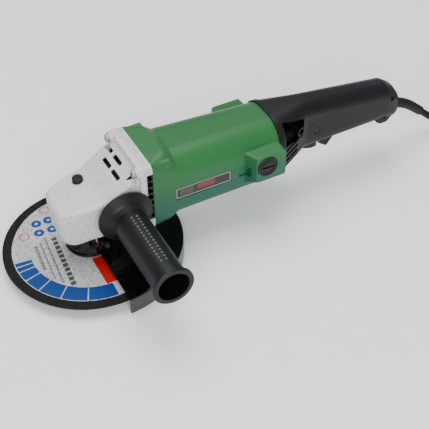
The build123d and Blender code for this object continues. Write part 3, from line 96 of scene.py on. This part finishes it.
class Wire:
    """A shader socket, so that the maths of a finish reads as plain sums."""

    def __init__(self, tree, socket):
        self.tree = tree
        self.socket = socket

    def node(self, kind, settings, sockets, out=0):
        """Adds a node of a kind, with its settings first and then its sockets' values or links."""
        made = self.tree.nodes.new("ShaderNode" + kind)
        for name, value in settings.items():
            setattr(made, name, value)
        for name, value in sockets.items():
            if isinstance(value, Wire):
                self.tree.links.new(value.socket, made.inputs[name])
            else:
                made.inputs[name].default_value = value
        return Wire(self.tree, made.outputs[out])

    def maths(self, operation, *others):
        """A Math node that takes this socket first and then the others."""
        return self.node("Math", {"operation": operation}, dict(enumerate((self, *others))))

    def __add__(self, other):
        return self.maths("ADD", other)

    def __sub__(self, other):
        return self.maths("SUBTRACT", other)

    def __mul__(self, other):
        return self.maths("MULTIPLY", other)

    __radd__ = __add__
    __rmul__ = __mul__

    def __rsub__(self, other):
        return self.node("Math", {"operation": "SUBTRACT"}, {0: other, 1: self})

    def over(self, low, high):
        """0 below low, 1 above high, smooth between."""
        return self.node(
            "MapRange", {"interpolation_type": "SMOOTHSTEP"},
            {"Value": self, "From Min": low, "From Max": high, "To Min": 0.0, "To Max": 1.0})

    def within(self, low, high, soft):
        """1 between low and high, 0 outside."""
        return self.over(low - soft, low + soft) * (1.0 - self.over(high - soft, high + soft))

    def beyond(self, edge, soft):
        """1 where this is farther from zero than edge, either way."""
        return self.maths("ABSOLUTE").over(edge - soft, edge + soft)

    def mix(self, first, second):
        """The first colour where this is 0, the second where it is 1."""
        return self.node("Mix", {"data_type": "RGBA"}, {0: self, 6: first, 7: second}, 2)

    def speckle(self, size, detail=2.0, rough=0.5):
        """Cloudy noise whose patches are about size metres across."""
        return self.node(
            "TexNoise", {},
            {"Vector": self, "Scale": 0.6 / size, "Detail": detail, "Roughness": rough})

    def axes(self):
        """The x, y and z of a place."""
        split = self.tree.nodes.new("ShaderNodeSeparateXYZ")
        self.tree.links.new(self.socket, split.inputs[0])
        return [Wire(self.tree, socket) for socket in split.outputs]

    def drawn_out(self, x, y, z):
        """The same place with each axis scaled, for grain that runs one way."""
        return self.node("VectorMath", {"operation": "MULTIPLY"}, {0: self, 1: (x, y, z)})


def away(x, y):
    """How far a place is from the line x = 0, y = 0."""
    return (x * x + y * y).maths("SQRT")


def paint(red, green, blue):
    """A colour from its 0 to 255 screen values."""
    def linear(value):
        share = value / 255
        return share / 12.92 if share <= 0.04045 else ((share + 0.055) / 1.055) ** 2.4
    return (linear(red), linear(green), linear(blue), 1.0)


def new_finish(name):
    """A new material, and the place on the piece that its patterns follow."""
    finish = bpy.data.materials.new(name)
    finish.use_nodes = True
    tree = finish.node_tree
    place = Wire(tree, tree.nodes.new("ShaderNodeTexCoord").outputs["Object"])
    return finish, place


def lay_on(finish, colour, rough, metal=0.0, height=None, depth=0.0002, coat=0.0, gleam=0.5):
    """Joins the worked-out colour, roughness, metal and relief to the finish's shader."""
    tree = finish.node_tree
    shader = tree.nodes["Principled BSDF"]
    shader.inputs["Specular IOR Level"].default_value = gleam
    values = {"Base Color": colour, "Roughness": rough, "Metallic": metal, "Coat Weight": coat}
    for name, value in values.items():
        if isinstance(value, Wire):
            tree.links.new(value.socket, shader.inputs[name])
        else:
            shader.inputs[name].default_value = value
    if height is not None:
        relief = height.node("Bump", {}, {"Strength": 0.6, "Distance": depth, "Height": height})
        tree.links.new(relief.socket, shader.inputs["Normal"])


def dress(finish, *names):
    """Gives CAD nodes this finish in place of the one they came with."""
    for name in names:
        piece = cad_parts[name]
        for held in piece.material_slots:
            held.material = finish
        if not piece.material_slots:
            piece.data.materials.append(finish)


table_paint, place = new_finish("table_paint")
table_grain = place.speckle(0.02, 4.0)
lay_on(table_paint, table_grain.mix(paint(248, 248, 247), paint(253, 253, 252)), 0.75)
table_top.data.materials.append(table_paint)


# ---------------------------------------------------------------- mains lead
# Round rubber lead, 8 mm thick: out of the handle's sleeve, down to the table and into a tied
# coil of seven turns, with a two-pin plug on its short end.

CORD_R = 0.004
COIL_X = 0.536
COIL_Y = 0.030
COIL_R = 0.048
COIL_PULL = 0.9915           # the smooth line runs this share of the way out to its points
LOW = 0.0053                 # middle of the lead where it lies on the coil's ties
TURNS = 7
POINTS = 24                  # points to a turn
STEPS = ("in", "up", "out", "up", "in", "up", "out")
FIRST_STEP = 305.0           # degrees wound before the first step to the next turn's place
NEXT_STEP = 310.0            # degrees wound from one step to the next
SWING = 50.0                 # degrees that a step takes

coil_side_y = COIL_Y - COIL_R - CORD_R
lead_points = [
    (0.332, 0.0, 0.071),
    (0.360, 0.0, 0.0675),
    (0.392, 0.0, 0.056),
    (0.424, 0.0, 0.029),
    (0.452, -0.002, CORD_R),
    (0.486, coil_side_y, LOW),
    (COIL_X - 0.014, coil_side_y, LOW),
]
for k in range(TURNS * POINTS + 1):
    wound = 360.0 * k / POINTS
    reach = COIL_R + CORD_R
    level = LOW
    for i, step in enumerate(STEPS):
        share = min(max((wound - FIRST_STEP - NEXT_STEP * i) / SWING, 0.0), 1.0)
        move = share * share * (3 - 2 * share) * 2 * CORD_R
        if step == "in":
            reach -= move
        elif step == "out":
            reach += move
        else:
            level += move
    turned = math.radians(wound - 90)
    reach = reach / COIL_PULL
    lead_points.append(
        (COIL_X + reach * math.cos(turned), COIL_Y + reach * math.sin(turned), level))
coil_top_z = LOW + 6 * CORD_R
lead_points += [
    (COIL_X + 0.022, coil_side_y - 0.001, coil_top_z - 0.001),
    (COIL_X + 0.048, coil_side_y - 0.012, 0.016),
    (COIL_X + 0.072, coil_side_y - 0.024, 0.011),
]

lead_curve = bpy.data.curves.new("mains_lead", "CURVE")
lead_curve.dimensions = "3D"
lead_curve.bevel_depth = CORD_R
lead_curve.bevel_resolution = 4
lead_curve.use_fill_caps = True
lead_line = lead_curve.splines.new("NURBS")
lead_line.points.add(len(lead_points) - 1)
for point, at in zip(lead_line.points, lead_points):
    point.co = (*at, 1.0)
lead_line.order_u = 3
lead_line.use_endpoint_u = True
lead_line.resolution_u = 6
mains_lead = bpy.data.objects.new("mains_lead", lead_curve)
bpy.context.scene.collection.objects.link(mains_lead)

lead_rubber, place = new_finish("lead_rubber")
dust = place.speckle(0.006, 4.0).over(0.45, 0.75)
lay_on(
    lead_rubber, dust.mix(paint(3, 3, 4), paint(9, 9, 9)), 0.58 + 0.12 * dust,
    height=place.speckle(0.0012), depth=0.0001, gleam=0.25)
lead_curve.materials.append(lead_rubber)
dress(lead_rubber, "cord", "cord_coil")

band_rubber, place = new_finish("band_rubber")
lay_on(
    band_rubber, place.speckle(0.002).mix(paint(12, 12, 13), paint(24, 24, 24)), 0.7,
    height=place.speckle(0.0008), depth=0.0002)
dress(band_rubber, "cord_ties")

plug_plastic, place = new_finish("plug_plastic")
lay_on(
    plug_plastic, place.speckle(0.012, 3.0).mix(paint(14, 14, 15), paint(22, 22, 22)), 0.45,
    height=place.speckle(0.0007), depth=0.00008)
dress(plug_plastic, "plug_body")

brass, place = new_finish("brass")
lay_on(
    brass, place.speckle(0.003, 4.0).mix(paint(196, 160, 92), paint(214, 182, 118)),
    0.24 + 0.2 * place.speckle(0.002, 3.0), 1.0)
dress(brass, "plug_pins")

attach(mains_lead, "housing")
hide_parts("cord", "cord_coil")


# ---------------------------------------------------------------- strain relief
# Tapered rubber sleeve where the lead leaves the handle, moulded with rings so that it bends
# evenly. Its foot is held between the two halves of the rear handle.

RING_STEP = 0.0022           # from the top of a ring to the groove beside it

sleeve_rubber, place = new_finish("sleeve_rubber")
along = place.axes()[0]
rings = along.maths("PINGPONG", RING_STEP) * 450.0
# Painted shade: the grooves between the rings are painted darker than the ring tops.
lay_on(
    sleeve_rubber, rings.over(0.2, 0.8).mix(paint(12, 12, 13), paint(20, 20, 20)), 0.55,
    height=rings.over(0.15, 0.85), depth=0.0003, gleam=0.25)
dress(sleeve_rubber, "cord_guard")


# ---------------------------------------------------------------- gear housing
# Die-cast aluminium head, blasted and clear lacquered: pale warm grey with small dark pits.
# The bearing retainer is the same casting, the cover plate a smoother one, and the air duct
# behind their slots is painted near black as painted shade.

ROOF_X = 0.012               # where the head's top starts to slope up
ROOF_Z = 0.090
ROOF_RISE = 0.6765
DUCT_X = (0.0275, 0.0460)
DUCT_HALF_Y = 0.0264
DUCT_FLOOR_Z = 0.0865

cast_aluminium, place = new_finish("cast_aluminium")
x, y, z = place.axes()
pits = place.speckle(0.0009, 2.0, 0.6).over(0.61, 0.67)
stain = place.speckle(0.03, 5.0, 0.6)
shade = stain.mix(paint(198, 197, 192), paint(222, 221, 217))
speckled = (0.8 * pits).mix(shade, paint(70, 68, 66))
# Painted shade: the inside of the duct under the head's roof, behind the vent slots, is painted
# near black.
slope = ROOF_Z + (x - ROOF_X) * ROOF_RISE
under_roof = (slope - z).over(0.0010, 0.0016) * x.within(*DUCT_X, 0.0004)
above_floor = z.over(DUCT_FLOOR_Z - 0.0005, DUCT_FLOOR_Z + 0.0005)
duct_painted_shade = under_roof * (1.0 - y.beyond(DUCT_HALF_Y, 0.0004)) * above_floor
lay_on(
    cast_aluminium, duct_painted_shade.mix(speckled, paint(26, 26, 27)), 0.36 + 0.2 * stain, 0.12,
    height=place.speckle(0.0010, 4.0) - 0.8 * pits, depth=0.0003)
dress(cast_aluminium, "gear_housing", "bearing_retainer")

PARTING_X = (0.0552, 0.0556)
GRILLE_HALF_Y = 0.0265
GRILLE_Z = (0.0545, 0.1125)
GRILLE_X = (0.0526, 0.0529)

plate_aluminium, place = new_finish("plate_aluminium")
x, y, z = place.axes()
scratches = place.drawn_out(1.0, 1.0, 12.0).speckle(0.004, 4.0)
parting = x.within(*PARTING_X, 0.0001)
bright = scratches.mix(paint(188, 187, 183), paint(218, 217, 213))
bright = (0.6 * parting).mix(bright, paint(90, 88, 86))
# Painted shade: the grille's openings are painted near black and given no metal.
grille_painted_shade = y.beyond(GRILLE_HALF_Y, 0.0003) * z.within(*GRILLE_Z, 0.0003) * x.over(*GRILLE_X)
lay_on(
    plate_aluminium, grille_painted_shade.mix(bright, paint(16, 16, 17)),
    0.34 + 0.2 * scratches, 0.25 - 0.25 * grille_painted_shade,
    height=place.speckle(0.0008, 3.0) - parting, depth=0.00012)
dress(plate_aluminium, "bearing_cover_plate")


# ---------------------------------------------------------------- screws, pins and springs
# Zinc-plated steel, slightly dulled; the screws of the retainer, the rear handle and the guard
# are blackened. The spring under the lock button gets a mesh of its own.

zinc, place = new_finish("zinc")
haze = place.speckle(0.003, 4.0)
lay_on(
    zinc, haze.mix(paint(150, 150, 146), paint(186, 186, 182)), 0.3 + 0.25 * haze, 0.9,
    height=place.speckle(0.0006), depth=0.00006)
dress(
    zinc, "face_screws", "clamp_screws", "lock_spring", "brush_springs", "trigger_pin",
    "side_handle_stud", "gear_circlip", "pinion_nut")

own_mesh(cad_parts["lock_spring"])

black_oxide, place = new_finish("black_oxide")
oil = place.speckle(0.002, 4.0)
lay_on(
    black_oxide, oil.mix(paint(20, 20, 21), paint(44, 43, 42)), 0.3 + 0.2 * oil, 0.6,
    height=place.speckle(0.0006), depth=0.00005)
dress(black_oxide, "retainer_screws", "handle_screws", "guard_clamp_screw")


# ---------------------------------------------------------------- spindle, bearings and gears
# Turned steel with fine rings left by the lathe, ground steel on the bearings and the armature's
# shaft, and greased bevel gears.

LATHE_STEP = 0.0002

turned_steel, place = new_finish("turned_steel")
x, y, z = place.axes()
lathe = away(x, y).maths("PINGPONG", LATHE_STEP) * (1 / LATHE_STEP)
oil = place.speckle(0.008, 4.0)
lay_on(
    turned_steel, oil.mix(paint(128, 127, 124), paint(170, 169, 166)), 0.22 + 0.25 * oil, 1.0,
    height=lathe, depth=0.00003)
dress(turned_steel, "spindle", "inner_flange", "lock_nut", "gear_spacer", "spindle_bush")

ground_steel, place = new_finish("ground_steel")
film = place.speckle(0.005, 4.0)
lay_on(
    ground_steel, film.mix(paint(140, 140, 139), paint(182, 182, 181)), 0.16 + 0.2 * film, 1.0,
    height=place.speckle(0.0004), depth=0.00003)
for bearing in ("spindle", "front", "rear"):
    dress(
        ground_steel,
        bearing + "_bearing_outer", bearing + "_bearing_inner", bearing + "_bearing_balls")
dress(ground_steel, "armature_shaft")

gear_steel, place = new_finish("gear_steel")
grease = place.speckle(0.006, 5.0).over(0.4, 0.65)
lay_on(
    gear_steel, grease.mix(paint(104, 100, 96), paint(70, 58, 40)),
    0.45 - 0.2 * grease, 1.0 - 0.6 * grease,
    height=place.speckle(0.0015, 3.0), depth=0.0001)
dress(gear_steel, "bevel_gear", "pinion")


# ---------------------------------------------------------------- cutting disc
# Resin-bonded abrasive disc 180 mm across: dark gritty rim, and a printed paper label with a fan
# of blue fields, one red field, six rings and a few plain bars in place of any wording.

LABEL_R = 0.0804
DISC_TOP_Z = 0.01297
FAN_TURN = (174.0, 268.5)
FAN_R = (0.0620, 0.0796)
FAN_GAPS = (178.5, 184.0, 194.0, 208.0, 226.0, 246.0)
RED_X = (-0.0070, 0.0040)
RED_Y = (-0.0612, -0.0215)
BAR_LEAN = 0.085             # the rows of bars lean by this much
BAR_PIVOT_Y = 0.0265
RING_R = 0.0054

disc_finish, place = new_finish("disc_finish")
x, y, z = place.axes()
radius = away(x, y)
turn = (y.maths("ARCTAN2", x) * (180 / math.pi)).maths("WRAP", 360.0, 0.0)
grit = place.speckle(0.0008, 3.0, 0.7)
rim = grit.over(0.60, 0.70).mix(paint(22, 22, 21), paint(58, 56, 53))
fibres = place.speckle(0.0010, 3.0, 0.75).over(0.38, 0.60)
paper = fibres.mix(paint(132, 132, 132), paint(198, 198, 198))

blue = grit.mix(paint(0, 42, 104), paint(8, 66, 134))
fan = turn.within(*FAN_TURN, 0.3) * radius.within(*FAN_R, 0.0003)
for gap in FAN_GAPS:
    fan = fan * (1.0 - turn.within(gap - 0.45, gap + 0.45, 0.1))
printed = fan.mix(paper, blue)

red = grit.mix(paint(160, 10, 8), paint(190, 30, 24))
red_field = x.within(*RED_X, 0.0003) * y.within(*RED_Y, 0.0003)
printed = red_field.mix(printed, red)

leaning = x + BAR_LEAN * (BAR_PIVOT_Y - y)
large_bars = y.maths("PINGPONG", 0.0034).over(0.0007, 0.0009)
small_bars = y.maths("PINGPONG", 0.0014).over(0.0004, 0.0006)
for left, right, low, high, bars in (
    (-0.0330, -0.0275, -0.048, 0.026, large_bars),
    (-0.0402, -0.0378, -0.040, 0.030, small_bars),
    (-0.0462, -0.0442, -0.030, 0.026, small_bars),
    (-0.0528, -0.0496, -0.014, 0.022, small_bars),
):
    row = leaning.within(left, right, 0.0002) * y.within(low, high, 0.0002) * bars
    printed = (0.9 * row).mix(printed, paint(34, 34, 36))

ring_blue = grit.mix(paint(10, 44, 112), paint(26, 70, 140))
for ring_x, ring_y, hole_r, ink in (
    (-0.0569, 0.0411, 0.0044, red),
    (-0.0389, 0.0538, 0.0018, ring_blue),
    (-0.0409, 0.0394, 0.0018, ring_blue),
    (-0.0237, 0.0705, 0.0044, red),
    (-0.0255, 0.0537, 0.0018, ring_blue),
    (-0.0267, 0.0388, 0.0018, ring_blue),
):
    printed = away(x - ring_x, y - ring_y).within(hole_r, RING_R, 0.0002).mix(printed, ink)

label = 1.0 - radius.over(LABEL_R - 0.0002, LABEL_R + 0.0002)
label = label * z.over(DISC_TOP_Z - 0.00002, DISC_TOP_Z + 0.00002)
lay_on(
    disc_finish, label.mix(rim, printed), 0.85 - 0.25 * label,
    height=grit * (1.2 - label), depth=0.0004, gleam=0.2)
dress(disc_finish, "cutting_disc")


# ---------------------------------------------------------------- guard
# Pressed sheet steel, welded to its clamp band and stove-enamelled black, with scuffs; the skirt
# is painted a lighter grey as a painted highlight.

SKIRT_TOP_Z = (0.016, 0.019)

guard_enamel, place = new_finish("guard_enamel")
x, y, z = place.axes()
scuffs = place.drawn_out(1.0, 1.0, 8.0).speckle(0.003, 6.0, 0.7).over(0.52, 0.70)
on_skirt = 1.0 - z.over(*SKIRT_TOP_Z)
# Painted highlight: the whole skirt is lifted to grey; the scuffs on it and above it are wear.
scuffs_and_skirt_highlight = scuffs * (0.06 + 0.3 * on_skirt) + 0.22 * on_skirt
lay_on(
    guard_enamel, scuffs_and_skirt_highlight.mix(paint(6, 6, 7), paint(90, 90, 92)),
    0.16 + 0.12 * scuffs + 0.2 * on_skirt,
    height=place.speckle(0.004, 3.0), depth=0.00005, coat=0.2)
dress(guard_enamel, "guard")


# ---------------------------------------------------------------- black mouldings
# Glass-filled nylon with a fine spark-eroded grain: side handle and rear handle. The trigger,
# buttons and caps are the same nylon, smoother and rubbed by use.

black_nylon, place = new_finish("black_nylon")
handling = place.speckle(0.02, 5.0, 0.6)
lay_on(
    black_nylon, handling.mix(paint(5, 5, 6), paint(11, 11, 11)), 0.38 + 0.14 * handling,
    height=place.speckle(0.0006, 3.0, 0.7), depth=0.00010, gleam=0.3)
dress(black_nylon, "side_handle_grip", "rear_handle_left", "rear_handle_right")

button_nylon, place = new_finish("button_nylon")
rub = place.speckle(0.004, 4.0)
lay_on(
    button_nylon, rub.mix(paint(8, 8, 9), paint(17, 17, 18)), 0.3 + 0.15 * rub,
    height=place.speckle(0.0005), depth=0.00006, gleam=0.3)
dress(
    button_nylon, "spindle_lock_button", "switch_trigger", "lock_on_button", "brush_caps",
    "switch_body", "cord_clamp")


# ---------------------------------------------------------------- grip studs
# Two rows of small raised studs moulded along the top of the side handle, to stop the hand
# slipping. They stand half sunk in the grip and move with it.

GRIP_R = 0.0175
STUD_R = 0.0012
STUD_ROWS = (-9.0, 9.0)      # degrees from the top of the grip
STUDS_IN_ROW = 15
STUD_STEP = 0.0046
FIRST_STUD_Y = -0.062

grip_low, grip_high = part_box("side_handle_grip")
grip_x = (grip_low[0] + grip_high[0]) / 2
grip_z = (grip_low[2] + grip_high[2]) / 2
studs = []
for row in STUD_ROWS:
    lean = math.radians(row)
    for i in range(STUDS_IN_ROW):
        bpy.ops.mesh.primitive_uv_sphere_add(
            segments=12, ring_count=8, radius=STUD_R,
            location=(
                grip_x + GRIP_R * math.sin(lean), FIRST_STUD_Y - STUD_STEP * i,
                grip_z + GRIP_R * math.cos(lean)))
        studs.append(bpy.context.object)
bpy.ops.object.select_all(action="DESELECT")
for stud in studs:
    stud.select_set(True)
bpy.context.view_layer.objects.active = studs[0]
bpy.ops.object.join()
grip_studs = bpy.context.object
grip_studs.name = "grip_studs"
bpy.ops.object.transform_apply(location=True, rotation=True, scale=True)
bpy.ops.object.shade_smooth()

# Painted highlight: the studs are the grip's black nylon, painted light grey where they catch the
# light.
stud_painted_highlight, place = new_finish("stud_painted_highlight")
lay_on(
    stud_painted_highlight, place.speckle(0.002, 3.0).mix(paint(66, 66, 66), paint(100, 100, 100)), 0.3,
    height=place.speckle(0.0005), depth=0.00003)
grip_studs.data.materials.append(stud_painted_highlight)
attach(grip_studs, "housing")
bpy.ops.object.select_all(action="DESELECT")


# ---------------------------------------------------------------- motor housing
# Green moulded nylon barrel with a faint orange-peel grain, screwed to the gear head. Dust
# gathers at the step behind its collar.

STEP_X = (0.074, 0.090)
SHADE_Z = (0.060, 0.100)     # the green turns bluer from the high value down to the low one

green_nylon, place = new_finish("green_nylon")
x, y, z = place.axes()
cloud = place.speckle(0.035, 5.0, 0.6)
green = cloud.mix(paint(28, 92, 44), paint(38, 104, 50))
# Painted shade: the barrel is painted darker and bluer towards its bottom.
bottom_painted_shade = 1.0 - z.over(*SHADE_Z)
green = (0.85 * bottom_painted_shade).mix(green, paint(12, 78, 62))
grime = place.speckle(0.0035, 6.0, 0.7).over(0.56, 0.74)
grime = grime * (0.16 + 0.5 * x.within(*STEP_X, 0.004))
lay_on(
    green_nylon, grime.mix(green, paint(92, 84, 58)), 0.34 + 0.16 * cloud + 0.2 * grime,
    height=place.speckle(0.0009, 3.0, 0.6), depth=0.0001, gleam=0.35)
dress(green_nylon, "motor_housing")


# ---------------------------------------------------------------- rating plate
# Thin black foil plate glued to the side of the barrel, with a pale border line; plain bars
# stand where a maker prints ratings.

BORDER_OUT = 0.0009          # from the plate's edge to the border line
BORDER_IN = 0.0016
EDGE_SOFT = 0.00015
PRINT_STEP = 0.0011


def set_in(margin):
    """1 on the plate farther than margin from its edge."""
    return (
        x.within(plate_low[0] + margin, plate_high[0] - margin, EDGE_SOFT)
        * z.within(plate_low[2] + margin, plate_high[2] - margin, EDGE_SOFT))


plate_foil, place = new_finish("plate_foil")
x, y, z = place.axes()
plate_low, plate_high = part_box("label_plate")
border = set_in(BORDER_OUT) - set_in(BORDER_IN)
print_lines = z.maths("PINGPONG", PRINT_STEP).over(0.0006, 0.0008)
red_bars = x.within(0.1075, 0.1270, 0.0003) * z.within(0.0735, 0.0795, 0.0003) * print_lines
grey_bars = x.within(0.0880, 0.1035, 0.0003) * z.within(0.0715, 0.0790, 0.0003) * print_lines
foil = place.speckle(0.004, 4.0).mix(paint(12, 12, 13), paint(22, 22, 23))
foil = border.mix(foil, paint(160, 160, 140))
foil = red_bars.mix(foil, paint(190, 40, 36))
foil = grey_bars.mix(foil, paint(84, 84, 82))
lay_on(
    plate_foil, foil, 0.28 + 0.15 * place.speckle(0.006, 4.0),
    height=place.speckle(0.003), depth=0.00005)
dress(plate_foil, "label_plate")


# ---------------------------------------------------------------- motor
# Stacks of silicon steel sheet, varnished copper wire, a copper commutator with carbon brushes
# in brass holders, and a pale nylon fan. The capacitor stands beside the switch.

SHEET = 0.00025              # half the step from one sheet of the stack to the next

laminations, place = new_finish("laminations")
sheets = place.axes()[0].maths("PINGPONG", SHEET) * (1 / SHEET)
lay_on(
    laminations, sheets.mix(paint(96, 96, 98), paint(138, 138, 140)), 0.5, 0.8,
    height=sheets, depth=0.00008)
dress(laminations, "field_core", "armature_core")

copper_wire, place = new_finish("copper_wire")
strands = place.drawn_out(1.0, 3.0, 3.0).speckle(0.0016, 2.0)
lay_on(
    copper_wire, strands.mix(paint(132, 62, 34), paint(186, 104, 58)), 0.34, 0.7,
    height=strands, depth=0.0004)
dress(copper_wire, "field_coils", "armature_winding")

copper, place = new_finish("copper")
track = place.axes()[0].speckle(0.0008, 3.0)
lay_on(
    copper, track.mix(paint(176, 104, 70), paint(206, 140, 100)), 0.28 + 0.2 * track, 1.0,
    height=place.speckle(0.0005), depth=0.00003)
dress(copper, "commutator")

carbon, place = new_finish("carbon")
lay_on(
    carbon, place.speckle(0.001, 3.0).mix(paint(30, 30, 31), paint(50, 50, 51)), 0.5,
    height=place.speckle(0.0006), depth=0.00008)
dress(carbon, "carbon_brushes")

holder_brass, place = new_finish("holder_brass")
lay_on(
    holder_brass, place.speckle(0.004, 4.0).mix(paint(176, 142, 80), paint(200, 168, 104)),
    0.35, 1.0, height=place.speckle(0.0008), depth=0.00004)
dress(holder_brass, "brush_holders")

fan_nylon, place = new_finish("fan_nylon")
lay_on(
    fan_nylon, place.speckle(0.01, 4.0).mix(paint(196, 192, 180), paint(214, 211, 202)), 0.45,
    height=place.speckle(0.0007), depth=0.00008)
dress(fan_nylon, "cooling_fan", "fan_baffle")

capacitor_case, place = new_finish("capacitor_case")
lay_on(
    capacitor_case, place.speckle(0.006, 3.0).mix(paint(16, 16, 18), paint(26, 26, 28)), 0.45,
    height=place.speckle(0.001), depth=0.00005)
dress(capacitor_case, "capacitor")


# ---------------------------------------------------------------- smooth castings and mouldings
# Every turned or moulded surface is smooth between its sharp edges: the facets are joined, and
# then parted again where they meet at more than a slight angle.

WELD_REACH = 0.000002
SHARP_ANGLE = 28.0

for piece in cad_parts.values():
    weld = piece.modifiers.new("weld", "WELD")
    weld.merge_threshold = WELD_REACH
    edges = piece.modifiers.new("edges", "EDGE_SPLIT")
    edges.split_angle = math.radians(SHARP_ANGLE)
    piece.data.shade_smooth()
